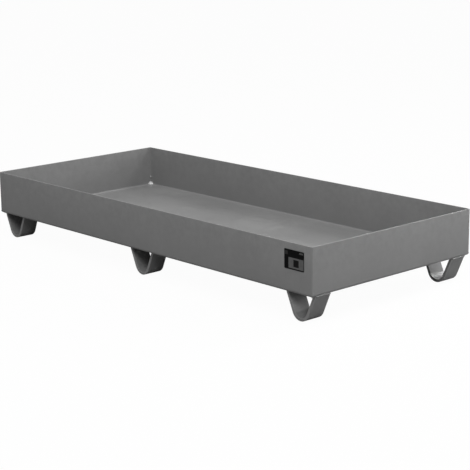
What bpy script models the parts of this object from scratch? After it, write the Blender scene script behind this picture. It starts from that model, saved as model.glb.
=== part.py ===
"""Spill containment tray: one folded steel sheet with welded corners, carried on six bent flat-bar feet.

Metres, +Z up, +X along the length. The origin is on the ground, under the middle of the tray.
"""

import math

import bmesh
import bpy
from mathutils import Matrix

OBJECT_NAME = "spill_containment_tray"

# Tray, folded from one sheet
TRAY_LENGTH = 1.800
TRAY_WIDTH = 0.800
TRAY_DEPTH = 0.170
SHEET = 0.003
FOLD_RADIUS = 0.010  # outer radius of the four bottom folds
FOLD_STEPS = 8

# Corner seams, where two upturned walls meet
ROOT_GAP = 0.0012  # opening between the inner edges of the two walls
SEAM_CORNER_RADIUS = 0.0024  # ground outer corner
SEAM_FILLET = 0.0025  # leg of the bead inside the tray
SEAM_STEPS = 6
SEAM_START = 0.0010  # the seam starts this far over the folds
SEAM_SINK = 0.0005  # the seam stops this far under the rim

# Feet, flat bar bent to a rounded V
FOOT_HEIGHT = 0.097
BAR_WIDTH = 0.072
BAR_THICKNESS = 0.010
LEG_LEAN = math.radians(23.5)
BEND_RADIUS = 0.040  # outer radius of the bend that stands on the ground
BEND_STEPS = 24
BAR_EDGE = 0.0008  # rounding of the bar's edges
LEG_END_MARGIN = 0.0041  # tray end to the outer leg of an end foot, along the tray's underside
SIDE_FOOT_INSET = 0.0195  # long wall to the near edge of the bar

# Fillet welds between the legs and the tray
WELD_RADIUS = 0.0035
WELD_END_SETBACK = 0.002  # the bead stops this far from the bar's edge
WELD_SIDES = 24

# Blank plate on the front wall
PLATE_WIDTH = 0.090
PLATE_HEIGHT = 0.066
PLATE_THICKNESS = 0.0010
PLATE_CORNER_RADIUS = 0.0015
PLATE_CORNER_STEPS = 4
PLATE_END_INSET = 0.0365  # tray end to the near side of the plate
PLATE_RIM_DROP = 0.024  # rim to the plate's top edge

# Clearances and cutter sizes
SEAT_GAP = 0.0003  # between pieces that touch on the real object
CUT_OVERRUN = 0.010  # how far a cutter passes through what it cuts
MERGE_DISTANCE = 1e-6

RIM_Z = FOOT_HEIGHT + TRAY_DEPTH
FOLD_TOP_Z = FOOT_HEIGHT + FOLD_RADIUS
SHARP_ANGLE = math.radians(30)


def clear_scene():
    """Remove the objects that Blender starts with."""
    for old in list(bpy.data.objects):
        bpy.data.objects.remove(old, do_unlink=True)


def new_collection(name):
    """Make a collection in the scene."""
    collection = bpy.data.collections.new(name)
    bpy.context.scene.collection.children.link(collection)
    return collection


def new_material(name, colour, roughness, metallic):
    """Make a Principled material from a linear colour, a roughness and a metallic value."""
    material = bpy.data.materials.new(name)
    material.use_nodes = True
    shader = material.node_tree.nodes["Principled BSDF"]
    shader.inputs["Base Color"].default_value = (*colour, 1.0)
    shader.inputs["Roughness"].default_value = roughness
    shader.inputs["Metallic"].default_value = metallic
    material.diffuse_color = (*colour, 1.0)
    return material


def tray_paint():
    """Mouse-grey enamel on the folded sheet."""
    return new_material("tray_paint", (0.165, 0.165, 0.165), 0.42, 0.0)


def foot_paint():
    """The same enamel on the bent bars, a little rougher on the hot-rolled skin."""
    return new_material("foot_paint", (0.150, 0.150, 0.150), 0.48, 0.0)


def weld_paint():
    """Enamel over weld metal."""
    return new_material("weld_paint", (0.158, 0.158, 0.158), 0.55, 0.0)


def plate_black():
    """Satin black of the blank plate."""
    return new_material("plate_black", (0.006, 0.006, 0.006), 0.35, 0.0)


def place(obj, collection, material=None, parent=None, location=(0.0, 0.0, 0.0), turn=(0.0, 0.0, 0.0)):
    """Link an object, dress it and set where it stands."""
    collection.objects.link(obj)
    if material is not None and not obj.data.materials:
        obj.data.materials.append(material)
    obj.parent = parent
    obj.location = location
    obj.rotation_euler = turn
    return obj


def object_from_bmesh(name, geometry):
    """Turn a bmesh into an object with closed outward faces."""
    bmesh.ops.recalc_face_normals(geometry, faces=geometry.faces)
    mesh = bpy.data.meshes.new(name)
    geometry.to_mesh(mesh)
    geometry.free()
    return bpy.data.objects.new(name, mesh)


def prism(name, outline, depth):
    """Extrude a flat closed outline, lying in the local XY plane, evenly to both sides along local Z."""
    curve = bpy.data.curves.new(name, "CURVE")
    curve.dimensions = "2D"
    curve.fill_mode = "BOTH"
    curve.extrude = depth / 2
    spline = curve.splines.new("POLY")
    spline.points.add(len(outline) - 1)
    for point, (x, y) in zip(spline.points, outline):
        point.co = (x, y, 0.0, 1.0)
    spline.use_cyclic_u = True
    flat = bpy.data.objects.new(name, curve)
    bpy.context.scene.collection.objects.link(flat)
    graph = bpy.context.evaluated_depsgraph_get()
    mesh = bpy.data.meshes.new_from_object(flat.evaluated_get(graph))
    bpy.data.objects.remove(flat, do_unlink=True)
    bpy.data.curves.remove(curve)
    geometry = bmesh.new()
    geometry.from_mesh(mesh)
    bpy.data.meshes.remove(mesh)
    bmesh.ops.remove_doubles(geometry, verts=geometry.verts, dist=MERGE_DISTANCE)
    return object_from_bmesh(name, geometry)


def arc(centre, radius, start, end, steps):
    """Points along an arc, both ends included."""
    angles = [start + (end - start) * step / steps for step in range(steps + 1)]
    return [(centre[0] + radius * math.cos(a), centre[1] + radius * math.sin(a)) for a in angles]


def cut(obj, cutter, name):
    """Subtract a cutter from an object with a live Boolean."""
    boolean = obj.modifiers.new(name, "BOOLEAN")
    boolean.operation = "DIFFERENCE"
    boolean.solver = "EXACT"
    boolean.object = cutter


def as_cutter(obj):
    """Keep a helper out of the model."""
    obj.hide_render = True
    obj.display_type = "WIRE"


def smooth(obj):
    """Shade the round stretches smooth and leave the folds between flats sharp."""
    obj.data.shade_smooth()
    obj.data.set_sharp_from_angle(angle=SHARP_ANGLE)


def folded_box(grow):
    """Outer form of the tray as a bmesh, grown on every side, its four bottom edges rounded by the folds."""
    box = bmesh.new()
    bmesh.ops.create_cube(box, size=1.0)
    sides = (TRAY_LENGTH + 2 * grow, TRAY_WIDTH + 2 * grow, TRAY_DEPTH + 2 * grow)
    bmesh.ops.scale(box, vec=sides, verts=box.verts)
    bottom = [edge for edge in box.edges if all(vert.co.z < 0 for vert in edge.verts)]
    bmesh.ops.bevel(
        box,
        geom=bottom,
        offset=FOLD_RADIUS + grow,
        segments=FOLD_STEPS,
        profile=0.5,
        affect="EDGES",
    )
    return box


def tray_middle():
    """Where the middle of the tray's outer form stands."""
    return (0.0, 0.0, FOOT_HEIGHT + TRAY_DEPTH / 2)


def tray_pan(collection, cutters):
    """The folded sheet: an open skin with the folds rounded, thickened inwards and slotted at its corners."""
    skin = folded_box(0.0)
    lid = [face for face in skin.faces if face.normal.z > 0.5]
    bmesh.ops.delete(skin, geom=lid, context="FACES_ONLY")
    pan = place(object_from_bmesh("tray_pan", skin), collection, tray_paint(), location=tray_middle())
    sheet = pan.modifiers.new("sheet", "SOLIDIFY")
    sheet.thickness = SHEET
    sheet.offset = -1.0
    sheet.use_even_offset = True
    for name, x, y, _ in corners():
        cut(pan, corner_slot(name, x, y, cutters), f"slot_{name}")
    smooth(pan)
    return pan


def corners():
    """Name, place and turn of each upright corner; the turn points local +X and +Y into the tray."""
    x = TRAY_LENGTH / 2
    y = TRAY_WIDTH / 2
    return (
        ("front_left", -x, -y, 0.0),
        ("front_right", x, -y, math.pi / 2),
        ("rear_right", x, y, math.pi),
        ("rear_left", -x, y, 3 * math.pi / 2),
    )


def seam_span():
    """Lowest and highest point of a corner seam: just over the folds, and just under the rim."""
    return FOLD_TOP_Z + SEAM_START, RIM_Z - SEAM_SINK


def corner_slot(name, x, y, cutters):
    """Cutter that parts the two walls of a corner, from over the folds up through the rim."""
    reach = CUT_OVERRUN + SHEET + ROOT_GAP
    low = seam_span()[0] - SEAT_GAP
    high = RIM_Z + CUT_OVERRUN
    slot = bmesh.new()
    bmesh.ops.create_cube(slot, size=1.0)
    bmesh.ops.scale(slot, vec=(reach, reach, high - low), verts=slot.verts)
    outward = CUT_OVERRUN - reach / 2
    middle = (x + math.copysign(outward, x), y + math.copysign(outward, y), (low + high) / 2)
    cutter = place(object_from_bmesh(f"slot_cutter_{name}", slot), cutters, location=middle)
    as_cutter(cutter)
    return cutter


def seam_outline():
    """Section of a corner seam: it fills the outer corner, passes the root gap and ends in a bead inside."""
    side = SHEET + ROOT_GAP - SEAT_GAP
    inner = SHEET + SEAT_GAP
    bead = ROOT_GAP + SEAM_FILLET
    round_centre = (SEAM_CORNER_RADIUS, SEAM_CORNER_RADIUS)
    points = [(side, inner), (side, 0.0)]
    points += arc(round_centre, SEAM_CORNER_RADIUS, 1.5 * math.pi, math.pi, SEAM_STEPS)
    points += [(0.0, side), (inner, side)]
    points += arc((inner, inner), bead, math.pi / 2, 0.0, SEAM_STEPS)
    return points


def corner_seams(collection):
    """The four upright welds that close the tray's corners."""
    low, high = seam_span()
    material = weld_paint()
    for name, x, y, turn in corners():
        seam = prism(f"corner_seam_{name}", seam_outline(), high - low)
        middle = (x, y, (low + high) / 2)
        place(seam, collection, material, location=middle, turn=(0.0, 0.0, turn))
        smooth(seam)


def leg_face_x(radius, z):
    """Distance from a foot's middle to a leg's face, for the face that is tangent to this bend radius."""
    return (radius + (z - BEND_RADIUS) * math.sin(LEG_LEAN)) / math.cos(LEG_LEAN)


def foot_outline(grow):
    """Side outline of a foot: left leg, bend and right leg outside, then back along the inside."""
    top = FOOT_HEIGHT - SEAT_GAP + grow
    outer = BEND_RADIUS + grow
    inner = BEND_RADIUS - BAR_THICKNESS - grow
    centre = (0.0, BEND_RADIUS)
    first = math.pi + LEG_LEAN
    last = 2 * math.pi - LEG_LEAN
    points = [(-leg_face_x(outer, top), top)]
    points += arc(centre, outer, first, last, BEND_STEPS)
    points += [(leg_face_x(outer, top), top), (leg_face_x(inner, top), top)]
    points += arc(centre, inner, last, first, BEND_STEPS)
    points.append((-leg_face_x(inner, top), top))
    return points


def stations():
    """Name and place of each foot's middle on the ground."""
    end_x = TRAY_LENGTH / 2 - LEG_END_MARGIN - leg_face_x(BEND_RADIUS, FOOT_HEIGHT)
    side_y = TRAY_WIDTH / 2 - SIDE_FOOT_INSET - BAR_WIDTH / 2
    return [
        (f"{row}_{place_name}", x, y)
        for row, y in (("front", -side_y), ("rear", side_y))
        for place_name, x in (("left", -end_x), ("middle", 0.0), ("right", end_x))
    ]


def tray_clearance(cutters):
    """Cutter with the tray's outer form and the seat gap round it, which trims the weld beads."""
    block = place(object_from_bmesh("tray_clearance", folded_box(SEAT_GAP)), cutters, location=tray_middle())
    as_cutter(block)
    return block


def foot(name, collection, material, station):
    """One bent bar, its two leg ends cut level under the tray."""
    bar = prism(f"foot_{name}", foot_outline(0.0), BAR_WIDTH)
    place(bar, collection, material, parent=station, turn=(math.pi / 2, 0.0, 0.0))
    edge = bar.modifiers.new("edge", "BEVEL")
    edge.width = BAR_EDGE
    edge.segments = 2
    edge.limit_method = "ANGLE"
    edge.angle_limit = SHARP_ANGLE
    smooth(bar)
    return bar


def foot_clearance(name, cutters, station):
    """Cutter with the bar's section and the seat gap round it, which trims the weld beads."""
    block = prism(f"foot_clearance_{name}", foot_outline(SEAT_GAP), BAR_WIDTH + 2 * CUT_OVERRUN)
    place(block, cutters, parent=station, turn=(math.pi / 2, 0.0, 0.0))
    as_cutter(block)
    return block


def weld_rod():
    """Mesh of a rod of weld metal along Y, before it is trimmed by what it joins."""
    rod = bmesh.new()
    bmesh.ops.create_cone(
        rod,
        cap_ends=True,
        segments=WELD_SIDES,
        radius1=WELD_RADIUS,
        radius2=WELD_RADIUS,
        depth=BAR_WIDTH - 2 * WELD_END_SETBACK,
        matrix=Matrix.Rotation(math.pi / 2, 4, "X"),
    )
    return object_from_bmesh("weld_rod", rod)


def foot_welds(name, collection, material, rod_mesh, cutting, station):
    """Four fillet beads of one foot: outside and inside each leg's end."""
    for side, sign in (("left", -1), ("right", 1)):
        for face, radius in (("outer", BEND_RADIUS), ("inner", BEND_RADIUS - BAR_THICKNESS)):
            bead = bpy.data.objects.new(f"weld_{name}_{side}_leg_{face}", rod_mesh)
            middle = (sign * leg_face_x(radius, FOOT_HEIGHT), 0.0, FOOT_HEIGHT)
            place(bead, collection, material, parent=station, location=middle)
            for cutter in cutting:
                cut(bead, cutter, cutter.name)


def feet(collection, cutters):
    """Six feet in two rows of three, each with its welds, carried by an empty at its station."""
    bar_material = foot_paint()
    bead_material = weld_paint()
    tray_block = tray_clearance(cutters)
    rod = weld_rod()
    for name, x, y in stations():
        station = bpy.data.objects.new(f"station_{name}", None)
        collection.objects.link(station)
        station.location = (x, y, 0.0)
        foot(name, collection, bar_material, station)
        cutting = (tray_block, foot_clearance(name, cutters, station))
        foot_welds(name, collection, bead_material, rod.data, cutting, station)
    bpy.data.objects.remove(rod)


def plate_outline():
    """Rectangle with rounded corners."""
    x = PLATE_WIDTH / 2 - PLATE_CORNER_RADIUS
    y = PLATE_HEIGHT / 2 - PLATE_CORNER_RADIUS
    points = []
    for quarter, centre in enumerate(((x, y), (-x, y), (-x, -y), (x, -y))):
        start = quarter * math.pi / 2
        points += arc(centre, PLATE_CORNER_RADIUS, start, start + math.pi / 2, PLATE_CORNER_STEPS)
    return points


def blank_plate(collection):
    """Thin plate with no marking, seated on the front wall near its right end."""
    plate = prism("blank_plate", plate_outline(), PLATE_THICKNESS)
    middle = (
        TRAY_LENGTH / 2 - PLATE_END_INSET - PLATE_WIDTH / 2,
        -TRAY_WIDTH / 2 - SEAT_GAP - PLATE_THICKNESS / 2,
        RIM_Z - PLATE_RIM_DROP - PLATE_HEIGHT / 2,
    )
    place(plate, collection, plate_black(), location=middle, turn=(math.pi / 2, 0.0, 0.0))


def main():
    """Build the tray, its seams, its feet with their welds, and the plate."""
    clear_scene()
    model = new_collection(OBJECT_NAME)
    cutters = new_collection("cutters")
    tray_pan(model, cutters)
    corner_seams(model)
    feet(model, cutters)
    blank_plate(model)


main()
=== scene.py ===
"""Looks of a welded steel spill tray that stands on six bent-bar feet.

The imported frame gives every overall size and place. The fields of the classes below give what the frame
doesn't hold: how far an edge is rounded, how a weld ripples and what each surface is painted with. Everything
is in metres.
"""

import logging
import math
from dataclasses import dataclass
from dataclasses import field
from enum import Enum
from typing import ClassVar

import bmesh
import bpy
from mathutils import Matrix
from mathutils import Vector
from mathutils import noise


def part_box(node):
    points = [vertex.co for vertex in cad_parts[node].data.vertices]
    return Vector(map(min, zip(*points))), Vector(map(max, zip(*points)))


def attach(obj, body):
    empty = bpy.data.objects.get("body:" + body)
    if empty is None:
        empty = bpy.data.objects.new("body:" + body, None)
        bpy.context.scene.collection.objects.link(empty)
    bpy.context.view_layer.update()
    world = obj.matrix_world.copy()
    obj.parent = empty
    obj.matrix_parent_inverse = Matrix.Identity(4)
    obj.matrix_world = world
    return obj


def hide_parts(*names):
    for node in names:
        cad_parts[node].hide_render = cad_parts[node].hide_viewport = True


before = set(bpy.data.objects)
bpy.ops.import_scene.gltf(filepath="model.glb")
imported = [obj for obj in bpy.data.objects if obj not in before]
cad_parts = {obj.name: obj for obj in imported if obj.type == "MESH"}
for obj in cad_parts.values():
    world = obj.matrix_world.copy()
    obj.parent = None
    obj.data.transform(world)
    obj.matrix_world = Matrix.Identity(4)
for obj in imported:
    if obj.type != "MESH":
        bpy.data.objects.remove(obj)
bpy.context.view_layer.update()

BODY = "root"
EDGE = "edge"
TINY = 1e-6
LOG = logging.getLogger("spill_tray")

Geometry = bmesh.types.BMesh
Piece = bpy.types.Object
Colour = tuple[float, float, float]
Socket = bpy.types.NodeSocket
Node = bpy.types.Node


class Row(Enum):
    """The two rows of feet, by the sign of Y."""

    FRONT = -1
    REAR = 1


class Station(Enum):
    """The three places of a foot along a row, by the sign of X."""

    LEFT = -1
    MIDDLE = 0
    RIGHT = 1


class Leg(Enum):
    """The two legs of a foot, by the sign of X from the foot's middle."""

    LEFT = -1
    RIGHT = 1


class Face(Enum):
    """The two faces of a leg that carry a weld."""

    INNER = "inner"
    OUTER = "outer"


class Corner(Enum):
    """The tray's upright corners, by the signs of X and Y."""

    FRONT_LEFT = (-1, -1)
    FRONT_RIGHT = (1, -1)
    REAR_LEFT = (-1, 1)
    REAR_RIGHT = (1, 1)


class Slot(Enum):
    """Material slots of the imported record."""

    TRAY = "tray_paint"
    FOOT = "foot_paint"
    WELD = "weld_paint"
    PLATE = "plate_black"


class NodeSheet:
    """A node tree with short ways to add nodes and wires."""

    def __init__(self, tree: bpy.types.NodeTree) -> None:
        """Keep the tree that nodes are added to.

        Args:
            tree: The material's or the group's node tree.
        """
        self.tree = tree

    def add(self, kind: str, **settings: object) -> Node:
        """Add a node.

        Args:
            kind: The node's type name.
            **settings: Attributes of the node itself.

        Returns:
            The new node.
        """
        node = self.tree.nodes.new(kind)
        for name, value in settings.items():
            setattr(node, name, value)
        return node

    def wire(self, source: Socket | float | tuple, target: Socket) -> None:
        """Feed a socket from another socket, or set its value.

        Args:
            source: A node's output, or a plain value.
            target: The input that takes it.
        """
        if isinstance(source, bpy.types.NodeSocket):
            self.tree.links.new(source, target)
        else:
            target.default_value = source

    def math(self, operation: str, *values: Socket | float, clamp: bool = False) -> Socket:
        """Combine values with a Math node.

        Args:
            operation: The Math node's operation.
            *values: One to three inputs.
            clamp: Whether the result is held between 0 and 1.

        Returns:
            The result's socket.
        """
        node = self.add("ShaderNodeMath", operation=operation, use_clamp=clamp)
        for value, target in zip(values, node.inputs):
            self.wire(value, target)
        return node.outputs["Value"]

    def ramp(self, value: Socket, low: Socket | float, high: Socket | float) -> Socket:
        """Turn a value's stretch from low to high into 0 to 1, with soft ends.

        Args:
            value: The value to read.
            low: Where the result starts to rise.
            high: Where the result reaches 1.

        Returns:
            The result's socket.
        """
        node = self.add("ShaderNodeMapRange", interpolation_type="SMOOTHSTEP")
        self.wire(value, node.inputs["Value"])
        self.wire(low, node.inputs["From Min"])
        self.wire(high, node.inputs["From Max"])
        return node.outputs["Result"]

    def blend(self, share: Socket | float, first: Socket | tuple, second: Socket | tuple) -> Socket:
        """Mix two colours.

        Args:
            share: How much of the second colour shows.
            first: The colour at share 0.
            second: The colour at share 1.

        Returns:
            The mixed colour's socket.
        """
        node = self.add("ShaderNodeMix", data_type="RGBA", clamp_factor=True)
        self.wire(share, node.inputs[0])
        self.wire(first, node.inputs[6])
        self.wire(second, node.inputs[7])
        return node.outputs[2]

    def noise(self, place: Socket, scale: Socket | float, detail: float, roughness: float = 0.5) -> Socket:
        """Add a noise texture.

        Args:
            place: Where it is read.
            scale: Waves to the metre.
            detail: How many finer layers it has.
            roughness: How strong the finer layers are.

        Returns:
            The noise value's socket.
        """
        node = self.add("ShaderNodeTexNoise", noise_dimensions="3D")
        self.wire(place, node.inputs["Vector"])
        self.wire(scale, node.inputs["Scale"])
        node.inputs["Detail"].default_value = detail
        node.inputs["Roughness"].default_value = roughness
        return node.outputs["Fac"]

    def mix_shaders(self, share: Socket, first: Socket, second: Socket) -> Socket:
        """Mix two shaders.

        Args:
            share: How much of the second shader shows.
            first: The shader at share 0.
            second: The shader at share 1.

        Returns:
            The mixed shader's socket.
        """
        node = self.add("ShaderNodeMixShader")
        for source, target in zip((share, first, second), node.inputs):
            self.wire(source, target)
        return node.outputs["Shader"]


class EffectGroup:
    """A shader node group that several finishes place with their own values."""

    name = "effect"
    inputs: ClassVar[dict[str, float]] = {}
    output = "Mask"

    def tree(self) -> bpy.types.NodeTree:
        """Find the group's tree, or build it the first time that it is asked for.

        Returns:
            The tree.
        """
        made = bpy.data.node_groups.get(self.name)
        if made is not None:
            return made
        made = bpy.data.node_groups.new(self.name, "ShaderNodeTree")
        made.interface.new_socket(name="Place", in_out="INPUT", socket_type="NodeSocketVector")
        for name, value in self.inputs.items():
            socket = made.interface.new_socket(name=name, in_out="INPUT", socket_type="NodeSocketFloat")
            socket.default_value = value
        made.interface.new_socket(name=self.output, in_out="OUTPUT", socket_type="NodeSocketFloat")
        sheet = NodeSheet(made)
        result = self.fill(sheet, sheet.add("NodeGroupInput").outputs)
        sheet.wire(result, sheet.add("NodeGroupOutput").inputs[self.output])
        return made

    def fill(self, sheet: NodeSheet, given: bpy.types.NodeOutputs) -> Socket:
        """Add the effect's nodes.

        Args:
            sheet: The group's tree.
            given: The group's inputs.

        Returns:
            The effect's result.
        """
        raise NotImplementedError


class OrangePeel(EffectGroup):
    """The fine dimpled skin that sprayed enamel dries with."""

    name = "orange_peel"
    inputs = {"Scale": 420.0, "Fine Share": 0.35}
    output = "Height"
    finer = 3.1

    def fill(self, sheet: NodeSheet, given: bpy.types.NodeOutputs) -> Socket:
        """Add a broad dimple and a finer one on it.

        Args:
            sheet: The group's tree.
            given: The group's inputs.

        Returns:
            The height, about 0 to 1.
        """
        broad = sheet.noise(given["Place"], given["Scale"], 1.0)
        fine = sheet.noise(given["Place"], sheet.math("MULTIPLY", given["Scale"], self.finer), 2.0)
        return sheet.math("MULTIPLY_ADD", fine, given["Fine Share"], broad)


class Cloud(EffectGroup):
    """Broad soft patches in an even coat of paint, from 0 to 1 about a middle of one half."""

    name = "cloud"
    inputs = {"Scale": 6.0, "Sharpness": 0.18}

    def fill(self, sheet: NodeSheet, given: bpy.types.NodeOutputs) -> Socket:
        """Add a noise that is pulled apart about its middle.

        Args:
            sheet: The group's tree.
            given: The group's inputs.

        Returns:
            The patches.
        """
        value = sheet.noise(given["Place"], given["Scale"], 3.0, 0.55)
        low = sheet.math("SUBTRACT", 0.5, given["Sharpness"])
        return sheet.ramp(value, low, sheet.math("ADD", 0.5, given["Sharpness"]))


class Dust(EffectGroup):
    """Thin dust on what faces up, with small bare patches, and a few broad patches where it is lighter."""

    name = "dust"
    inputs = {"Scale": 30.0, "Amount": 0.3}
    facing = (0.15, 1.0)
    patches = (0.36, 0.72)
    lighter_patches = (0.52, 0.66)
    lighter_patch_scale = 0.14
    lighter_patch_gain = 2.2
    thin_share = 0.5

    def fill(self, sheet: NodeSheet, given: bpy.types.NodeOutputs) -> Socket:
        """Weigh a patchy noise by how far the surface faces up and by a broad noise that makes some patches
        lighter.

        Args:
            sheet: The group's tree.
            given: The group's inputs.

        Returns:
            Where dust lies.
        """
        surface = sheet.add("ShaderNodeNewGeometry")
        parts = sheet.add("ShaderNodeSeparateXYZ")
        sheet.wire(surface.outputs["Normal"], parts.inputs["Vector"])
        upward = sheet.ramp(parts.outputs["Z"], *self.facing)
        patches = sheet.ramp(sheet.noise(given["Place"], given["Scale"], 5.0, 0.62), *self.patches)
        broad = sheet.math("MULTIPLY", given["Scale"], self.lighter_patch_scale)
        lighter_patch = sheet.ramp(sheet.noise(given["Place"], broad, 1.5), *self.lighter_patches)
        share = sheet.math("MULTIPLY_ADD", lighter_patch, self.lighter_patch_gain, self.thin_share)
        settled = sheet.math("MULTIPLY", sheet.math("MULTIPLY", upward, share), patches)
        return sheet.math("MULTIPLY", settled, given["Amount"], clamp=True)


class Specks(EffectGroup):
    """Small scattered raised grains: dust nibs under the paint, or weld spatter."""

    name = "specks"
    inputs = {"Scale": 90.0, "Share": 0.1, "Radius": 0.12}
    flat_share = 0.35

    def fill(self, sheet: NodeSheet, given: bpy.types.NodeOutputs) -> Socket:
        """Keep a share of the cells of a cell texture, each with a round grain at its middle.

        Args:
            sheet: The group's tree.
            given: The group's inputs.

        Returns:
            Where grains stand.
        """
        cells = sheet.add("ShaderNodeTexVoronoi", feature="F1", distance="EUCLIDEAN")
        sheet.wire(given["Place"], cells.inputs["Vector"])
        sheet.wire(given["Scale"], cells.inputs["Scale"])
        top = sheet.math("MULTIPLY", given["Radius"], self.flat_share)
        grain = sheet.ramp(cells.outputs["Distance"], given["Radius"], top)
        lot = sheet.add("ShaderNodeSeparateColor")
        sheet.wire(cells.outputs["Color"], lot.inputs["Color"])
        kept = sheet.math("LESS_THAN", lot.outputs["Red"], given["Share"])
        return sheet.math("MULTIPLY", grain, kept)


class FinishSheet(NodeSheet):
    """A new material's node tree, with its Principled shader and its Object coordinates."""

    def __init__(self, name: str, colour: Colour) -> None:
        """Start the material.

        Args:
            name: The material's name.
            colour: Its main colour, which plain views show.
        """
        self.material = bpy.data.materials.new(name)
        self.material.use_nodes = True
        self.material.diffuse_color = (*colour, 1.0)
        super().__init__(self.material.node_tree)
        self.shader = self.tree.nodes["Principled BSDF"]
        self.place = self.add("ShaderNodeTexCoord").outputs["Object"]

    def effect(self, group: EffectGroup, **values: Socket | float) -> Socket:
        """Place an effect group.

        Args:
            group: The effect.
            **values: The group's inputs, with _ for a space.

        Returns:
            The group's output.
        """
        node = self.add("ShaderNodeGroup")
        node.node_tree = group.tree()
        self.wire(self.place, node.inputs["Place"])
        for name, value in values.items():
            self.wire(value, node.inputs[name.replace("_", " ")])
        return node.outputs[0]

    def tones(self, colour: Colour, swing: float, share: Socket) -> Socket:
        """Let a colour turn a little darker and lighter.

        Args:
            colour: The middle colour.
            swing: How far it turns, as a share of itself.
            share: Where it is lighter.

        Returns:
            The colour's socket.
        """
        dark, light = ((*(part * (1.0 + sign * swing) for part in colour), 1.0) for sign in (-1, 1))
        return self.blend(share, dark, light)

    def bump(self, height: Socket) -> None:
        """Raise the surface.

        Args:
            height: How far, in metres.
        """
        bump = self.add("ShaderNodeBump")
        bump.inputs["Strength"].default_value = 1.0
        bump.inputs["Distance"].default_value = 1.0
        self.wire(height, bump.inputs["Height"])
        self.wire(bump.outputs["Normal"], self.shader.inputs["Normal"])


@dataclass(frozen=True)
class Enamel:
    """Satin enamel sprayed on steel.

    The colour, its lighter dusty state and the lengths are the paint's own; the shares say how much of each
    effect shows.
    """

    name: str
    colour: Colour = (0.210, 0.210, 0.210)
    dusty: Colour = (0.30, 0.30, 0.295)
    # The edge colour below is lighter: partly thin paint, partly a painted highlight along the rims and bar
    # edges.
    worn_and_highlit: Colour = (0.38, 0.38, 0.38)
    scuffed: Colour = (0.055, 0.055, 0.055)
    cloud_gain: float = 0.035
    cloud_scale: float = 5.5
    cloud_share: float = 0.7
    mottle_finer: float = 7.0
    mottle_sharpness: float = 0.3
    roughness: float = 0.40
    roughness_swing: float = 0.10
    mottle_swing: float = 0.4
    dust_dulls: float = 0.35
    peel_scale: float = 420.0
    peel_height: float = 0.000035
    speck_scale: float = 60.0
    speck_share: float = 0.05
    speck_height: float = 0.00006
    dust: float = 0.14
    edge_wear_and_highlight: float = 0.35
    edge_breaks: float = 0.6
    scuff: float = 0.0
    scuff_height: float = 0.012
    streak_stretch: tuple[float, float, float] = (1.0, 0.18, 1.0)
    streak_scale: float = 260.0
    streaks: tuple[float, float] = (0.42, 0.62)

    def material(self) -> bpy.types.Material:
        """Build the finish.

        Returns:
            The material, with its Principled shader fed by the effect groups.
        """
        sheet = FinishSheet(self.name, self.colour)
        cloud = sheet.effect(Cloud(), Scale=self.cloud_scale)
        mottle_scale = self.cloud_scale * self.mottle_finer
        mottle = sheet.effect(Cloud(), Scale=mottle_scale, Sharpness=self.mottle_sharpness)
        dust = sheet.effect(Dust(), Amount=self.dust)
        broad = sheet.math("MULTIPLY", cloud, self.cloud_share)
        patches = sheet.math("MULTIPLY_ADD", mottle, 1.0 - self.cloud_share, broad)
        colour = sheet.tones(self.colour, self.cloud_gain, patches)
        # Rounded edges turn lighter: thin paint and a painted highlight.
        colour = sheet.blend(self.edges(sheet, mottle), colour, (*self.worn_and_highlit, 1.0))
        colour = sheet.blend(dust, colour, (*self.dusty, 1.0))
        if self.scuff:
            colour = sheet.blend(self.scuffs(sheet), colour, (*self.scuffed, 1.0))
        sheet.wire(colour, sheet.shader.inputs["Base Color"])
        lowest = self.roughness - self.roughness_swing / 2
        swing = sheet.math("MULTIPLY_ADD", cloud, self.roughness_swing, lowest)
        fine = sheet.math("MULTIPLY_ADD", mottle, self.roughness_swing * self.mottle_swing, swing)
        gloss = sheet.math("MULTIPLY_ADD", dust, self.dust_dulls, fine, clamp=True)
        sheet.wire(gloss, sheet.shader.inputs["Roughness"])
        peel = sheet.math("MULTIPLY", sheet.effect(OrangePeel(), Scale=self.peel_scale), self.peel_height)
        specks = sheet.effect(Specks(), Scale=self.speck_scale, Share=self.speck_share)
        sheet.bump(sheet.math("MULTIPLY_ADD", specks, self.speck_height, peel))
        return sheet.material

    def edges(self, sheet: FinishSheet, mottle: Socket) -> Socket:
        """Find how far the edges are lighter, for thinned paint and a painted highlight, from the piece's own
        edge attribute.

        Args:
            sheet: The material's tree.
            mottle: Small patches that break the wear and the painted highlight up.

        Returns:
            The mask's socket.
        """
        edge = sheet.add("ShaderNodeAttribute", attribute_type="GEOMETRY", attribute_name=EDGE)
        broken = sheet.math("MULTIPLY_ADD", mottle, self.edge_breaks, 1.0 - self.edge_breaks)
        worn_and_highlit = sheet.math("MULTIPLY", edge.outputs["Fac"], broken)
        return sheet.math("MULTIPLY", worn_and_highlit, self.edge_wear_and_highlight, clamp=True)

    def scuffs(self, sheet: FinishSheet) -> Socket:
        """Find where standing and sliding has rubbed dirt into the paint, near the ground.

        Args:
            sheet: The material's tree.

        Returns:
            The mask's socket.
        """
        parts = sheet.add("ShaderNodeSeparateXYZ")
        sheet.wire(sheet.place, parts.inputs["Vector"])
        low = sheet.ramp(parts.outputs["Z"], self.scuff_height, 0.0)
        stretched = sheet.add("ShaderNodeMapping")
        stretched.inputs["Scale"].default_value = self.streak_stretch
        sheet.wire(sheet.place, stretched.inputs["Vector"])
        grain = sheet.noise(stretched.outputs["Vector"], self.streak_scale, 4.0, 0.6)
        streaks = sheet.ramp(grain, *self.streaks)
        return sheet.math("MULTIPLY", sheet.math("MULTIPLY", low, streaks), self.scuff)


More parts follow.
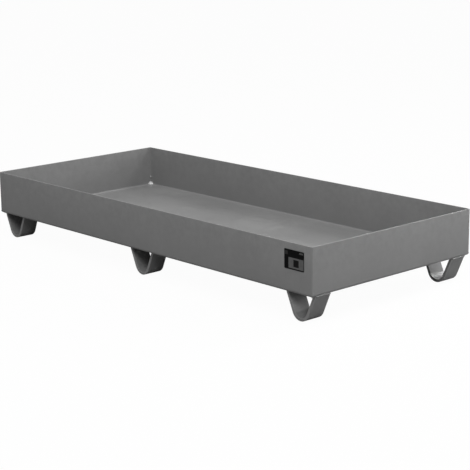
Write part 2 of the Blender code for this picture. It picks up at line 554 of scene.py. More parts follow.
@dataclass(frozen=True)
class Film:
    """A printed plastic film: an even ink under a satin cover, faintly pebbled."""

    name: str
    colour: Colour
    roughness: float = 0.45
    roughness_swing: float = 0.08
    specular: float = 0.06
    mottle_scale: float = 70.0
    mottle_sharpness: float = 0.3
    print_swing: float = 0.10
    pebble_scale: float = 1500.0
    pebble_height: float = 0.000008

    def material(self) -> bpy.types.Material:
        """Build the finish.

        Returns:
            The material.
        """
        sheet = FinishSheet(self.name, self.colour)
        sheet.shader.inputs["Specular IOR Level"].default_value = self.specular
        mottle = sheet.effect(Cloud(), Scale=self.mottle_scale, Sharpness=self.mottle_sharpness)
        sheet.wire(sheet.tones(self.colour, self.print_swing, mottle), sheet.shader.inputs["Base Color"])
        lowest = self.roughness - self.roughness_swing / 2
        gloss = sheet.math("MULTIPLY_ADD", mottle, self.roughness_swing, lowest)
        sheet.wire(gloss, sheet.shader.inputs["Roughness"])
        pebble = sheet.effect(OrangePeel(), Scale=self.pebble_scale)
        sheet.bump(sheet.math("MULTIPLY", pebble, self.pebble_height))
        return sheet.material


class Bench:
    """Shared ways to shape a bmesh and to hand a finished piece to the frame."""

    smooth_angle: float = math.radians(38)

    @staticmethod
    def block(low: Vector, high: Vector) -> Geometry:
        """Return a box between two corners.

        Args:
            low: Lowest corner.
            high: Highest corner.

        Returns:
            The box.
        """
        shape = bmesh.new()
        bmesh.ops.create_cube(shape, size=1.0)
        bmesh.ops.scale(shape, vec=high - low, verts=shape.verts)
        bmesh.ops.translate(shape, vec=(low + high) / 2, verts=shape.verts)
        return shape

    @staticmethod
    def round_edges(
        shape: Geometry, edges: list, radius: float, segments: int, points: bool = False
    ) -> list:
        """Bevel edges, or the points of a flat outline, to a radius.

        Args:
            shape: What they belong to.
            edges: The edges or points.
            radius: How far the rounding reaches.
            segments: How many facets it has.
            points: Whether points are rounded instead of edges.

        Returns:
            The faces that the rounding made.
        """
        affect = "VERTICES" if points else "EDGES"
        made = bmesh.ops.bevel(
            shape, geom=edges, offset=radius, segments=segments, profile=0.5, affect=affect, material=-1
        )
        return made["faces"]

    @staticmethod
    def slice(shape: Geometry, point: Vector, normal: Vector, keep_below: bool = False) -> None:
        """Cut a shape along a plane.

        Args:
            shape: What is cut.
            point: A point of the plane.
            normal: The plane's normal.
            keep_below: Whether what lies on the normal's side is taken off and the cut is closed.
        """
        parts = [*shape.verts, *shape.edges, *shape.faces]
        found = bmesh.ops.bisect_plane(
            shape, geom=parts, dist=TINY, plane_co=point, plane_no=normal, clear_outer=keep_below
        )
        if keep_below:
            rim = [part for part in found["geom_cut"] if isinstance(part, bmesh.types.BMEdge)]
            bmesh.ops.holes_fill(shape, edges=rim, sides=0)

    @staticmethod
    def clear_inside(shape: Geometry) -> None:
        """Take out the cross-sections that drawing a shape out step by step has left inside it.

        Args:
            shape: What was drawn out.
        """
        left = [face for face in shape.faces if all(len(edge.link_faces) > 2 for edge in face.edges)]
        bmesh.ops.delete(shape, geom=left, context="FACES_ONLY")

    @staticmethod
    def merged(*shapes: Geometry) -> Geometry:
        """Put several shapes in one.

        Args:
            *shapes: The shapes, which are used up.

        Returns:
            One bmesh that holds them all.
        """
        whole = bmesh.new()
        for shape in shapes:
            carrier = bpy.data.meshes.new("carrier")
            shape.to_mesh(carrier)
            shape.free()
            whole.from_mesh(carrier)
            bpy.data.meshes.remove(carrier)
        return whole

    @classmethod
    def piece(
        cls, name: str, shape: Geometry, finishes: list[bpy.types.Material], slot: Slot, nodes: list[str]
    ) -> Piece:
        """Turn a shape into a piece that rides on the frame in place of its CAD nodes.

        Args:
            name: The piece's name.
            shape: Its closed geometry, in place, which is used up.
            finishes: Its materials.
            slot: The record's slot that the piece would take its finish from; not used.
            nodes: The CAD nodes that it stands for.

        Returns:
            The piece's object.
        """
        bmesh.ops.recalc_face_normals(shape, faces=shape.faces)
        mesh = bpy.data.meshes.new(name)
        shape.to_mesh(mesh)
        shape.free()
        for finish in finishes:
            mesh.materials.append(finish)
        mesh.shade_smooth()
        mesh.set_sharp_from_angle(angle=cls.smooth_angle)
        made = bpy.data.objects.new(name, mesh)
        bpy.context.scene.collection.objects.link(made)
        weighted = made.modifiers.new("even_shading", "WEIGHTED_NORMAL")
        weighted.keep_sharp = True
        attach(made, BODY)
        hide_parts(*nodes)
        LOG.info("%s: %d faces, for %s", name, len(mesh.polygons), ", ".join(nodes))
        return made

    @staticmethod
    def mark_edges(shape: Geometry, faces: list) -> None:
        """Note on the points of rounded edges that they are lighter there, for thin paint and a painted
        highlight.

        Args:
            shape: What the faces belong to.
            faces: The faces of the rounding.
        """
        layer = shape.verts.layers.float.get(EDGE) or shape.verts.layers.float.new(EDGE)
        for face in faces:
            if face.is_valid:
                for point in face.verts:
                    point[layer] = 1.0


@dataclass
class BeadShape:
    """How a run of weld metal is laid: a round section that swells and ebbs as the pool moves on."""

    radius: float = 0.0035
    sides: int = 14
    pitch: float = 0.0024
    steps_per_ripple: int = 4
    ripple: float = 0.080
    crescent: float = 0.28
    wander: float = 0.00018
    swell: float = 0.06
    end_taper: float = 0.0030
    blunt: float = 0.03
    wander_waves: float = 180.0
    beat_waves: float = 90.0
    beat_swing: float = 0.25
    beat_row: float = 3.0
    swell_waves: float = 60.0
    swell_row: float = 7.0
    seed: float = 0.0

    def lay(self, path: list[Vector], crown: Vector) -> Geometry:
        """Sweep the section along a path.

        Args:
            path: Points of the root line.
            crown: Which way the bead's back faces.

        Returns:
            The closed bead.
        """
        shape = bmesh.new()
        bmesh.ops.create_circle(shape, cap_ends=True, segments=self.sides, radius=1.0)
        for point in shape.verts:
            point.co.z = self.crescent * max(0.0, point.co.y) ** 2
        cap = shape.faces[:][0]
        places = self.places(path, crown)
        bmesh.ops.transform(shape, matrix=places[0], verts=shape.verts)
        for last, current in zip(places, places[1:]):
            grown = bmesh.ops.extrude_face_region(shape, geom=[cap])["geom"]
            cap = next(part for part in grown if isinstance(part, bmesh.types.BMFace))
            bmesh.ops.transform(shape, matrix=current @ last.inverted(), verts=cap.verts)
        Bench.clear_inside(shape)
        return shape

    def places(self, path: list[Vector], crown: Vector) -> list[Matrix]:
        """Work out where each section stands, how it is turned and how large it is.

        Args:
            path: Points of the root line.
            crown: Which way the bead's back faces.

        Returns:
            One matrix for each section.
        """
        run = [0.0]
        for before, after in zip(path, path[1:]):
            run.append(run[-1] + (after - before).length)
        count = round(run[-1] / self.pitch * self.steps_per_ripple)
        found = []
        for step in range(count + 1):
            along = run[-1] * step / count
            number = next((n for n in range(1, len(run)) if run[n] >= along), len(run) - 1)
            share = (along - run[number - 1]) / max(run[number] - run[number - 1], TINY)
            middle = path[number - 1].lerp(path[number], share)
            heading = (path[min(number + 1, len(path) - 1)] - path[max(number - 2, 0)]).normalized()
            shake = noise.noise_vector(Vector((along * self.wander_waves, self.seed, 0.0))) * self.wander
            size = self.radius * self.size(along, run[-1])
            turned = self.turned(heading, crown)
            found.append(Matrix.Translation(middle + shake) @ turned @ Matrix.Scale(size, 4))
        return found

    def size(self, along: float, whole: float) -> float:
        """Return the section's size, as a share of the radius.

        Args:
            along: Distance from the bead's start.
            whole: The bead's length.

        Returns:
            The share.
        """
        beat = noise.noise(Vector((along * self.beat_waves, self.seed, self.beat_row)))
        phase = along / self.pitch + self.beat_swing * beat
        wave = phase - math.floor(phase)
        ends = min(1.0, min(along, whole - along) / self.end_taper)
        rounded = math.sqrt(max(self.blunt, 1.0 - (1.0 - ends) ** 2))
        swell = noise.noise(Vector((along * self.swell_waves, self.seed, self.swell_row)))
        return (1.0 - self.ripple * wave + self.swell * swell) * rounded

    @staticmethod
    def turned(heading: Vector, crown: Vector) -> Matrix:
        """Return the turn that lays local Z along the bead and local Y out of its back.

        Args:
            heading: The way along the bead.
            crown: Which way its back faces.

        Returns:
            The turn as a 4x4 matrix.
        """
        across = crown.cross(heading).normalized()
        back = heading.cross(across)
        return Matrix((across, back, heading)).transposed().to_4x4()


@dataclass
class Tray:
    """The folded sheet: its overall form from the frame, and how it is folded and rippled by welding."""

    finish: bpy.types.Material
    sheet: float = 0.003
    fold_radius: float = 0.010
    fold_segments: int = 14
    corner_radius: float = 0.0042
    inner_corner_radius: float = 0.0010
    corner_segments: int = 6
    rim_round: float = 0.0012
    rim_segments: int = 3
    rim_band: float = 0.0030
    cell: float = 0.030
    bow: float = 0.0008
    ripple: float = 0.00035
    ripple_waves: tuple[float, float] = (4.0, 5.0)
    ripple_seed: float = 1.7
    low: Vector = field(init=False)
    high: Vector = field(init=False)

    def __post_init__(self) -> None:
        """Read the tray's outer form from the frame."""
        self.low, self.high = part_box("tray_pan")

    @property
    def fold_top(self) -> float:
        """Height at which the folds end and the walls stand straight."""
        return self.low.z + self.fold_radius

    def build(self) -> Piece:
        """Make the folded sheet.

        Returns:
            The piece.
        """
        inner = self.skin(self.sheet, self.inner_corner_radius)
        lifted = {point for edge in inner.edges if edge.is_boundary for point in edge.verts}
        bmesh.ops.translate(inner, vec=Vector((0.0, 0.0, self.sheet)), verts=list(lifted))
        shape = Bench.merged(self.skin(0.0, self.corner_radius), inner)
        open_edges = [edge for edge in shape.edges if edge.is_boundary]
        bmesh.ops.bridge_loops(shape, edges=open_edges)
        for point in shape.verts:
            point.co.z = min(point.co.z, self.high.z)
        bmesh.ops.recalc_face_normals(shape, faces=shape.faces)
        self.round_rim(shape)
        self.divide(shape)
        self.warp(shape)
        return Bench.piece("folded_tray", shape, [self.finish], Slot.TRAY, ["tray_pan"])

    def skin(self, inset: float, corner: float) -> Geometry:
        """Make one open skin of the sheet.

        Args:
            inset: How far it lies inside the tray's outer form.
            corner: Radius of its upright corners.

        Returns:
            The skin.
        """
        step = Vector((inset, inset, 0.0))
        low = self.low + step + Vector((0.0, 0.0, inset))
        shape = Bench.block(low, self.high - step)
        lid = [face for face in shape.faces if face.normal.z > 0.5]
        bmesh.ops.delete(shape, geom=lid, context="FACES_ONLY")
        bottom = [edge for edge in shape.edges if max(point.co.z for point in edge.verts) < low.z + TINY]
        Bench.round_edges(shape, bottom, self.fold_radius - inset, self.fold_segments)
        corners = [edge for edge in shape.edges if self.in_corner(edge)]
        Bench.round_edges(shape, corners, corner, self.corner_segments)
        return shape

    def in_corner(self, edge: bmesh.types.BMEdge) -> bool:
        """Tell whether an edge is an upright corner.

        Args:
            edge: The edge.

        Returns:
            Whether it stands upright where two walls meet.
        """
        span = edge.verts[0].co - edge.verts[1].co
        return span.xy.length < TINY and abs(span.z) > self.sheet

    def round_rim(self, shape: Geometry) -> None:
        """Round both edges of the rim.

        Args:
            shape: The closed sheet.
        """
        rim = [face for face in shape.faces if min(point.co.z for point in face.verts) > self.high.z - TINY]
        flat = set(rim)
        edges = {edge for face in rim for edge in face.edges if not flat.issuperset(edge.link_faces)}
        faces = Bench.round_edges(shape, list(edges), self.rim_round, self.rim_segments)
        # The rim's rounded edges are marked to turn lighter: thin paint and a painted highlight.
        Bench.mark_edges(shape, faces)

    def divide(self, shape: Geometry) -> None:
        """Cut the flats into cells, so that they can bend.

        Args:
            shape: The closed sheet.
        """
        Bench.slice(shape, Vector((0.0, 0.0, self.high.z - self.rim_band)), Vector((0.0, 0.0, 1.0)))
        for axis in range(3):
            start = self.low[axis] + self.fold_radius
            whole = self.high[axis] - start - (self.rim_band if axis == 2 else self.fold_radius)
            count = round(whole / self.cell)
            normal = Vector([float(axis == other) for other in range(3)])
            for step in range(1, count):
                Bench.slice(shape, normal * (start + whole * step / count), normal)

    def warp(self, shape: Geometry) -> None:
        """Draw the walls in a little between their corners, and let the floor lie as welded sheet does.

        Args:
            shape: The closed sheet.
        """
        half = (self.high - self.low) / 2
        middle = (self.high + self.low) / 2
        for point in shape.verts:
            offset = point.co - middle
            across = Vector((offset.x / half.x, offset.y / half.y, 0.0))
            height = max(0.0, (point.co.z - self.fold_top) / (self.high.z - self.fold_top))
            drawn = Vector((0.0, 0.0, 0.0))
            if abs(offset.x) > half.x - self.fold_radius:
                drawn.x = -math.copysign(self.bow, offset.x) * height * max(0.0, 1.0 - across.y**2)
            if abs(offset.y) > half.y - self.fold_radius:
                drawn.y = -math.copysign(self.bow, offset.y) * height * max(0.0, 1.0 - across.x**2)
            lying = max(0.0, 1.0 - across.x**4) * max(0.0, 1.0 - across.y**4)
            if height <= 0.0:
                waves = (point.co[axis] * self.ripple_waves[axis] for axis in (0, 1))
                drawn.z = self.ripple * lying * noise.noise(Vector((*waves, self.ripple_seed)))
            point.co += drawn


@dataclass
class CornerWeld:
    """One upright corner's weld: ground smooth outside, rippled inside, with a lump over the cut corner."""

    corner: Corner
    tray: Tray
    finish: bpy.types.Material
    lump_highlight_finish: bpy.types.Material
    outer: BeadShape = field(default_factory=lambda: BeadShape(
        radius=0.0016, sides=16, pitch=0.011, steps_per_ripple=3, ripple=0.010, crescent=0.0,
        wander=0.00003, swell=0.020, end_taper=0.0012,
    ))
    inner: BeadShape = field(default_factory=lambda: BeadShape(radius=0.0029))
    outer_depth: float = 0.00228
    inner_rise: float = 0.0004
    top_drop: float = 0.0005
    turn_steps: int = 8
    turn_end: float = math.radians(78)
    lump: tuple[float, float, float] = (0.0205, 0.0115, 0.0072)
    lump_turn: float = math.radians(50)
    lump_rise: float = 0.0016
    drop: tuple[float, float, float] = (0.0030, 0.0030, 0.0045)
    drop_height: float = 0.0340
    ball_segments: tuple[int, int] = (28, 16)
    unevenness: float = 0.10
    uneven_waves: float = 1.7
    seed_start: float = 11.0
    seed_step: float = 3.0

    def build(self) -> Piece:
        """Make the weld.

        Returns:
            The piece.
        """
        name = self.corner.name.lower()
        x, y = self.corner.value
        into = Vector((-x, -y, 0.0))
        self.outer.seed = self.inner.seed = self.seed_start + self.seed_step * x + y
        ground = self.outer.lay(self.route(self.outer_depth), -into)
        rippled = self.inner.lay(self.route(self.tray.sheet + self.inner_rise), into)
        shape = Bench.merged(ground, rippled, self.lumps())
        finishes = [self.finish, self.lump_highlight_finish]
        return Bench.piece(f"corner_weld_{name}", shape, finishes, Slot.WELD, [f"corner_seam_{name}"])

    def route(self, depth: float) -> list[Vector]:
        """Follow the corner down from the rim and round its cut fold.

        Args:
            depth: How far the route lies inside both walls' outer faces.

        Returns:
            Points of the route, from the top.
        """
        radius = self.tray.fold_radius - depth
        angles = [self.turn_end * step / self.turn_steps for step in range(self.turn_steps + 1)]
        top = self.at(depth, self.tray.high.z - self.top_drop)
        return [top, *(self.round_fold(radius, angle) for angle in angles)]

    def round_fold(self, radius: float, angle: float) -> Vector:
        """Find a point of the route round the cut fold.

        Args:
            radius: The route's own radius.
            angle: How far round it is from the upright wall.

        Returns:
            The point.
        """
        reach = self.tray.fold_radius - radius * math.cos(angle)
        return self.at(reach, self.tray.fold_top - radius * math.sin(angle))

    def at(self, depth: float, height: float) -> Vector:
        """Find a point on the corner's upright bisecting plane.

        Args:
            depth: Distance from both walls' outer faces.
            height: Height over the ground.

        Returns:
            The point.
        """
        place = [
            (self.tray.high[axis] if sign > 0 else self.tray.low[axis]) - sign * depth
            for axis, sign in enumerate(self.corner.value)
        ]
        return Vector((*place, height))

    def lumps(self) -> Geometry:
        """Make the lump that closes the cut corner inside, facing up, and the drop on the seam over it.

        Returns:
            Both, with the lumps' finish.
        """
        facing = Vector((-self.corner.value[0], -self.corner.value[1], 1.0)).normalized()
        level = Vector((0.0, 0.0, 1.0)).cross(facing).normalized()
        turn = Matrix((level, facing.cross(level), facing)).transposed().to_4x4()
        sheet = self.tray.sheet
        low = self.round_fold(self.tray.fold_radius - sheet, self.lump_turn) + facing * self.lump_rise
        high = self.at(sheet + self.drop[0], self.tray.low.z + sheet + self.drop_height)
        drop = self.ball(high, Matrix.Identity(4), self.drop)
        shape = Bench.merged(self.ball(low, turn, self.lump), drop)
        # Both lumps take the second finish, whose light colour is partly a painted highlight.
        for face in shape.faces:
            face.material_index = 1
        return shape

    def ball(self, middle: Vector, turn: Matrix, size: tuple[float, float, float]) -> Geometry:
        """Make an uneven ball of weld metal that stays inside the sheet's outer face.

        Args:
            middle: Its middle.
            turn: How it is turned.
            size: Its three radii.

        Returns:
            The ball.
        """
        shape = bmesh.new()
        across, up = self.ball_segments
        bmesh.ops.create_uvsphere(shape, u_segments=across, v_segments=up, radius=1.0)
        for point in shape.verts:
            place = point.co * self.uneven_waves + Vector((*self.corner.value, 0.0))
            point.co *= 1.0 + self.unevenness * noise.noise(place)
        stretch = Matrix.Diagonal((*size, 1.0))
        bmesh.ops.transform(shape, matrix=Matrix.Translation(middle) @ turn @ stretch, verts=shape.verts)
        for point in shape.verts:
            self.hold_inside(point)
        return shape

    def hold_inside(self, point: bmesh.types.BMVert) -> None:
        """Pull a point of a lump in to the middle of the sheet, where it would stand out of the tray.

        Args:
            point: The point.
        """
        fold = self.tray.fold_radius
        deepest = fold - self.tray.sheet / 2
        for axis in (0, 1):
            outer = math.copysign(self.tray.high[axis], point.co[axis])
            depth = abs(outer) - abs(point.co[axis])
            arm = Vector((fold - depth, max(0.0, self.tray.fold_top - point.co.z)))
            if arm.x > 0.0 and arm.length > deepest:
                arm *= deepest / arm.length
                point.co[axis] = outer - math.copysign(fold - arm.x, outer)
                if arm.y > 0.0:
                    point.co.z = self.tray.fold_top - arm.y


@dataclass
class Foot:
    """One foot: flat bar bent to a rounded V, with four fillet welds to the tray."""

    row: Row
    station: Station
    tray: Tray
    bar_finish: bpy.types.Material
    weld_finish: bpy.types.Material
    thickness: float = 0.010
    bend_radius: float = 0.040
    lean: float = math.radians(23.5)
    edge_round: float = 0.0010
    edge_segments: int = 3
    face_cuts: int = 11
    leg_steps: int = 4
    bend_steps: int = 44
    broaden: float = 0.0004
    tuck: float = 0.0006
    bead: BeadShape = field(default_factory=lambda: BeadShape(radius=0.0032))
    seed_steps: tuple[float, float] = (5.0, 17.0)

    def __post_init__(self) -> None:
        """Read the foot's place and the bar's width from the frame."""
        self.name = f"{self.row.name.lower()}_{self.station.name.lower()}"
        low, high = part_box(f"foot_{self.name}")
        self.ground = Vector(((low.x + high.x) / 2, (low.y + high.y) / 2, low.z))
        self.width = high.y - low.y
        self.centre = self.ground + Vector((0.0, 0.0, self.bend_radius))

    def build(self) -> list[Piece]:
        """Make the bar and its four beads.

        Returns:
            The pieces.
        """
        made = [self.bar()]
        made += [self.weld(leg, face) for leg in Leg for face in Face]
        return made

    def section(self) -> tuple[Geometry, list]:
        """Make the bar's cross-section, flat in XY, its width along Y and its corners rounded.

        Returns:
            The shape and its face.
        """
        shape = bmesh.new()
        bmesh.ops.create_grid(shape, x_segments=1, y_segments=1, size=0.5)
        bmesh.ops.scale(shape, vec=Vector((self.thickness, self.width, 1.0)), verts=shape.verts)
        Bench.round_edges(shape, list(shape.verts), self.edge_round, self.edge_segments, points=True)
        # Every point of the outline is marked for lighter edges: thin paint and a painted highlight.
        layer = shape.verts.layers.float.new(EDGE)
        for point in shape.verts:
            point[layer] = 1.0
        long_sides = [edge for edge in shape.edges if edge.calc_length() > self.thickness]
        cut = bmesh.ops.subdivide_edges(shape, edges=long_sides, cuts=self.face_cuts)
        for part in cut["geom_inner"]:
            if isinstance(part, bmesh.types.BMVert):
                part[layer] = 0.0
        bmesh.ops.dissolve_faces(shape, faces=shape.faces[:])
        return shape, shape.faces[:]

    def bar(self) -> Piece:
        """Make the bent bar: down one leg, round the bend and up the other leg.

        Returns:
            The piece.
        """
        shape, cap = self.section()
        top = self.tray.low.z + self.tuck
        middle_radius = self.bend_radius - self.thickness / 2
        rise = top - self.centre.z + self.thickness + middle_radius * math.sin(self.lean)
        length = rise / math.cos(self.lean)
        outward = Vector((-math.cos(self.lean), 0.0, -math.sin(self.lean)))
        up_leg = Vector((-math.sin(self.lean), 0.0, math.cos(self.lean)))
        start = self.centre + outward * middle_radius + up_leg * length
        across = Vector((0.0, 1.0, 0.0))
        upright = Matrix((outward, across, outward.cross(across))).transposed().to_4x4()
        bmesh.ops.transform(shape, matrix=Matrix.Translation(start) @ upright, verts=shape.verts)
        cap = self.drawn(shape, cap, -up_leg * length)
        bend = math.pi - 2 * self.lean
        spun = bmesh.ops.spin(
            shape, geom=cap, cent=self.centre, axis=-across, angle=bend, steps=self.bend_steps,
            use_merge=False, use_duplicate=False,
        )
        cap = [part for part in spun["geom_last"] if isinstance(part, bmesh.types.BMFace)]
        self.drawn(shape, cap, Vector((-up_leg.x, 0.0, up_leg.z)) * length)
        Bench.clear_inside(shape)
        self.spread_bend(shape)
        Bench.slice(shape, Vector((0.0, 0.0, top)), Vector((0.0, 0.0, 1.0)), keep_below=True)
        finishes = [self.bar_finish]
        return Bench.piece(f"bent_bar_{self.name}", shape, finishes, Slot.FOOT, [f"foot_{self.name}"])

    def drawn(self, shape: Geometry, cap: list, way: Vector) -> list:
        """Draw the section out along a leg.

        Args:
            shape: The bar.
            cap: The faces at its end.
            way: How far and where to.

        Returns:
            The faces at the new end.
        """
        for _ in range(self.leg_steps):
            grown = bmesh.ops.extrude_face_region(shape, geom=cap)["geom"]
            cap = [part for part in grown if isinstance(part, bmesh.types.BMFace)]
            moved = [part for part in grown if isinstance(part, bmesh.types.BMVert)]
            bmesh.ops.translate(shape, vec=way / self.leg_steps, verts=moved)
        return cap

    def spread_bend(self, shape: Geometry) -> None:
        """Broaden the bar's inner side in the bend, as bending does to thick bar.

        Args:
            shape: The bar.
        """
        for point in shape.verts:
            offset = point.co - self.centre
            radius = math.hypot(offset.x, offset.z)
            if offset.z < 0.0 and radius < self.bend_radius + TINY:
                inner = (self.bend_radius - radius) / self.thickness
                bent = min(1.0, -offset.z / radius)
                point.co.y += 2.0 * offset.y / self.width * self.broaden * inner * bent

    def face_reach(self, face: Face) -> float:
        """Return how far a leg's face lies from the foot's middle, where it meets the tray.

        Args:
            face: Which face of the leg.

        Returns:
            The distance along X.
        """
        radius = self.bend_radius if face is Face.OUTER else self.bend_radius - self.thickness
        rise = self.tray.low.z - self.centre.z
        return (radius + rise * math.sin(self.lean)) / math.cos(self.lean)

    def weld(self, leg: Leg, face: Face) -> Piece:
        """Make one fillet bead.

        Args:
            leg: Which leg.
            face: Which of its faces.

        Returns:
            The piece.
        """
        node = f"weld_{self.name}_{leg.name.lower()}_leg_{face.value}"
        low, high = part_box(node)
        x = self.ground.x + leg.value * self.face_reach(face)
        path = [Vector((x, low.y, self.tray.low.z)), Vector((x, high.y, self.tray.low.z))]
        outward = leg.value if face is Face.OUTER else -leg.value
        crown = Vector((outward, 0.0, -1.0)).normalized()
        self.bead.seed = self.seed_steps[0] * x + self.seed_steps[1] * low.y + leg.value
        shape = self.bead.lay(path, crown)
        if abs(x) + self.bead.radius < self.tray.high.x - self.tray.fold_radius:
            level = Vector((0.0, 0.0, self.tray.low.z + self.tuck))
            Bench.slice(shape, level, Vector((0.0, 0.0, 1.0)), keep_below=True)
        name = node.replace("weld_", "fillet_")
        return Bench.piece(name, shape, [self.weld_finish], Slot.WELD, [node])


@dataclass(frozen=True)
class PrintField:
    """One plain grey field of print, placed from the plate's lower left corner."""

    name: str
    grey: float
    left: float
    low: float
    right: float
    high: float
    layer: float = 0.5


@dataclass
class MarkPlate:
    """The small dark plate on the front wall, with plain grey fields and no marking."""

    ground: Colour = (0.0032, 0.0032, 0.0034)
    fields: tuple[PrintField, ...] = (
        PrintField("panel", 0.120, left=0.0195, low=0.0040, right=0.0885, high=0.0400),
        PrintField("square", 0.008, left=0.0425, low=0.0100, right=0.0665, high=0.0340, layer=1.0),
        PrintField("mark", 0.085, left=0.0690, low=0.0560, right=0.0865, high=0.0615),
        PrintField("stamp", 0.034, left=0.0030, low=0.0475, right=0.0160, high=0.0605),
    )
    corner_radius: float = 0.0030
    corner_segments: int = 4
    edge_round: float = 0.00012
    edge_segments: int = 2
    print_depth: float = 0.00005

    def build(self) -> Piece:
        """Make the plate with its printed fields.

        Returns:
            The piece.
        """
        low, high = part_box("blank_plate")
        base = Bench.block(low + Vector((0.0, self.print_depth, 0.0)), high)
        upright = [edge for edge in base.edges if abs(edge.verts[0].co.y - edge.verts[1].co.y) > TINY]
        Bench.round_edges(base, upright, self.corner_radius, self.corner_segments)
        face = [part for part in base.faces if part.normal.y < -0.5]
        Bench.round_edges(base, list(face[0].edges), self.edge_round, self.edge_segments)
        shapes = [base]
        for number, printed in enumerate(self.fields, 1):
            front = low.y + self.print_depth * (1.0 - printed.layer)
            ink = Bench.block(
                Vector((low.x + printed.left, front, low.z + printed.low)),
                Vector((low.x + printed.right, low.y + 2 * self.print_depth, low.z + printed.high)),
            )
            for part in ink.faces:
                part.material_index = number
            shapes.append(ink)
        inks = [(printed.name, (printed.grey,) * 3) for printed in self.fields]
        finishes = [Film(f"plate_{name}", ink).material() for name, ink in (("ground", self.ground), *inks)]
        return Bench.piece("mark_plate", Bench.merged(*shapes), finishes, Slot.PLATE, ["blank_plate"])


@dataclass(frozen=True)
class Softbox:
    """A flat soft light."""

    name: str
    place: tuple[float, float, float]
    width: float
    height: float
    watts: float
    aim: tuple[float, float, float] = (0.0, 0.0, 0.15)
    spread: float = 180.0

    def build(self) -> Piece:
        """Hang the light.

        Returns:
            The light's object.
        """
        lamp = bpy.data.lights.new(self.name, "AREA")
        lamp.shape = "RECTANGLE"
        lamp.size = self.width
        lamp.size_y = self.height
        lamp.energy = self.watts
        lamp.spread = math.radians(self.spread)
        made = bpy.data.objects.new(self.name, lamp)
        made.location = self.place
        way = Vector(self.aim) - Vector(self.place)
        made.rotation_euler = way.to_track_quat("-Z", "Y").to_euler()
        made.visible_camera = False
        bpy.context.scene.collection.objects.link(made)
        return made


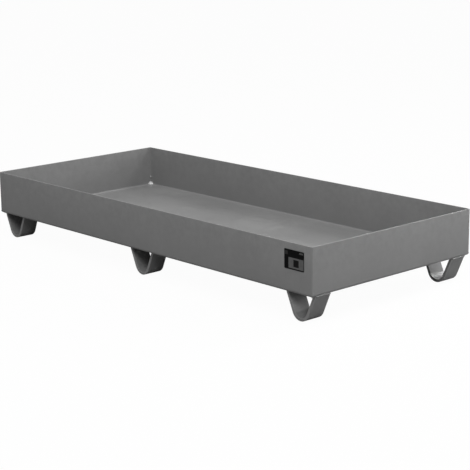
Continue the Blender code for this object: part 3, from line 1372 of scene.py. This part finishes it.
@dataclass
class Studio:
    """A pale floor, a white surround and soft lights over and beside the tray."""

    floor_reach: float = 60.0
    floor_albedo: float = 0.30
    floor_roughness: float = 0.9
    floor_specular: float = 0.1
    floor_glow: float = 0.93
    floor_white: float = 1.04
    surround: float = 0.240
    gleam: float = 0.80
    softboxes: tuple[Softbox, ...] = (
        Softbox("key_softbox", (4.3, -4.6, 6.5), width=3.4, height=3.4, watts=360.0),
        Softbox("overhead_softbox", (1.5, -0.6, 7.0), width=3.0, height=3.0, watts=190.0),
        Softbox("back_softbox", (0.9, 3.0, 3.0), width=2.4, height=1.2, watts=44.0),
        Softbox(
            "low_back_softbox", (1.3, 3.2, 1.6), width=1.2, height=0.6, watts=4.5, aim=(0.83, 0.34, 0.03),
            spread=40.0,
        ),
        Softbox("right_softbox", (3.6, 3.0, 1.1), width=2.0, height=1.2, watts=27.0),
    )
    lens: float = 110.07
    sensor: float = 36.0
    camera_place: Vector = field(default_factory=lambda: Vector((4.0323, -3.5863, 1.3912)))
    camera_turn: tuple[float, float, float] = (76.1389, 0.8190, 48.2205)
    shift: tuple[float, float] = (0.03875, 0.01380)

    def build(self) -> None:
        """Set up the floor, the surround, the lights, the view transform and the camera."""
        self.floor()
        self.world()
        for softbox in self.softboxes:
            softbox.build()
        bpy.context.scene.view_settings.view_transform = "Standard"
        bpy.context.scene.view_settings.look = "None"
        self.camera()

    def floor(self) -> None:
        """Lay the floor, which shows nearly white and lets only a faint shadow through."""
        shape = bmesh.new()
        bmesh.ops.create_grid(shape, x_segments=1, y_segments=1, size=self.floor_reach)
        mesh = bpy.data.meshes.new("floor")
        shape.to_mesh(mesh)
        shape.free()
        material = bpy.data.materials.new("floor")
        material.use_nodes = True
        sheet = NodeSheet(material.node_tree)
        shader = material.node_tree.nodes["Principled BSDF"]
        shader.inputs["Base Color"].default_value = (*([self.floor_albedo] * 3), 1.0)
        shader.inputs["Roughness"].default_value = self.floor_roughness
        shader.inputs["Specular IOR Level"].default_value = self.floor_specular
        glow = sheet.add("ShaderNodeEmission")
        glow.inputs["Strength"].default_value = self.floor_white
        rays = sheet.add("ShaderNodeLightPath").outputs
        seen = sheet.math("MULTIPLY", rays["Is Camera Ray"], self.floor_glow)
        mixed = sheet.mix_shaders(seen, shader.outputs["BSDF"], glow.outputs["Emission"])
        sheet.wire(mixed, material.node_tree.nodes["Material Output"].inputs["Surface"])
        mesh.materials.append(material)
        made = bpy.data.objects.new("floor", mesh)
        bpy.context.scene.collection.objects.link(made)

    def world(self) -> None:
        """Surround the tray with an even white that lights it more softly than it looks."""
        world = bpy.data.worlds.new("surround")
        bpy.context.scene.world = world
        world.use_nodes = True
        sheet = NodeSheet(world.node_tree)
        white = world.node_tree.nodes["Background"]
        bright, seen = (sheet.add("ShaderNodeBackground") for _ in range(2))
        for node, strength in ((white, self.surround), (bright, self.gleam), (seen, 1.0)):
            node.inputs["Color"].default_value = (1.0, 1.0, 1.0, 1.0)
            node.inputs["Strength"].default_value = strength
        rays = sheet.add("ShaderNodeLightPath").outputs
        surface = white.outputs["Background"]
        for ray, node in (("Is Glossy Ray", bright), ("Is Camera Ray", seen)):
            surface = sheet.mix_shaders(rays[ray], surface, node.outputs["Background"])
        sheet.wire(surface, world.node_tree.nodes["World Output"].inputs["Surface"])

    def camera(self) -> None:
        """Set up the camera."""
        lens = bpy.data.cameras.new("camera")
        lens.lens = self.lens
        lens.sensor_width = self.sensor
        lens.shift_x, lens.shift_y = self.shift
        lens.clip_end = 4 * self.floor_reach
        made = bpy.data.objects.new("camera", lens)
        made.location = self.camera_place
        made.rotation_euler = [math.radians(part) for part in self.camera_turn]
        bpy.context.scene.collection.objects.link(made)
        bpy.context.scene.camera = made


def main() -> None:
    """Build the studio and the tray, and report each piece."""
    logging.basicConfig(level=logging.INFO, format="%(name)s: %(message)s")
    Studio().build()
    sheet_enamel = Enamel("sheet_enamel").material()
    bar_enamel = Enamel(
        "bar_enamel", colour=(0.205, 0.205, 0.205), roughness=0.44, peel_height=0.00006, speck_share=0.12,
        edge_wear_and_highlight=0.3, scuff=0.55,
    ).material()
    weld_enamel = Enamel(
        "weld_enamel", roughness=0.34, peel_scale=900.0, speck_scale=240.0, speck_share=0.18, edge_wear_and_highlight=0.0,
    ).material()
    # The lumps' light, glossy colour is partly brighter weld metal and partly a painted highlight: the glint
    # on the lump at the cut corner.
    lump_enamel = Enamel(
        "lump_enamel", colour=(0.42, 0.42, 0.42), roughness=0.24, roughness_swing=0.04, peel_scale=900.0,
        peel_height=0.00002, speck_share=0.0, dust=0.0, edge_wear_and_highlight=0.0,
    ).material()
    tray = Tray(sheet_enamel)
    tray.build()
    for corner in Corner:
        CornerWeld(corner, tray, weld_enamel, lump_enamel).build()
    for row in Row:
        for station in Station:
            Foot(row, station, tray, bar_enamel, weld_enamel).build()
    MarkPlate().build()


if __name__ == "__main__":
    main()
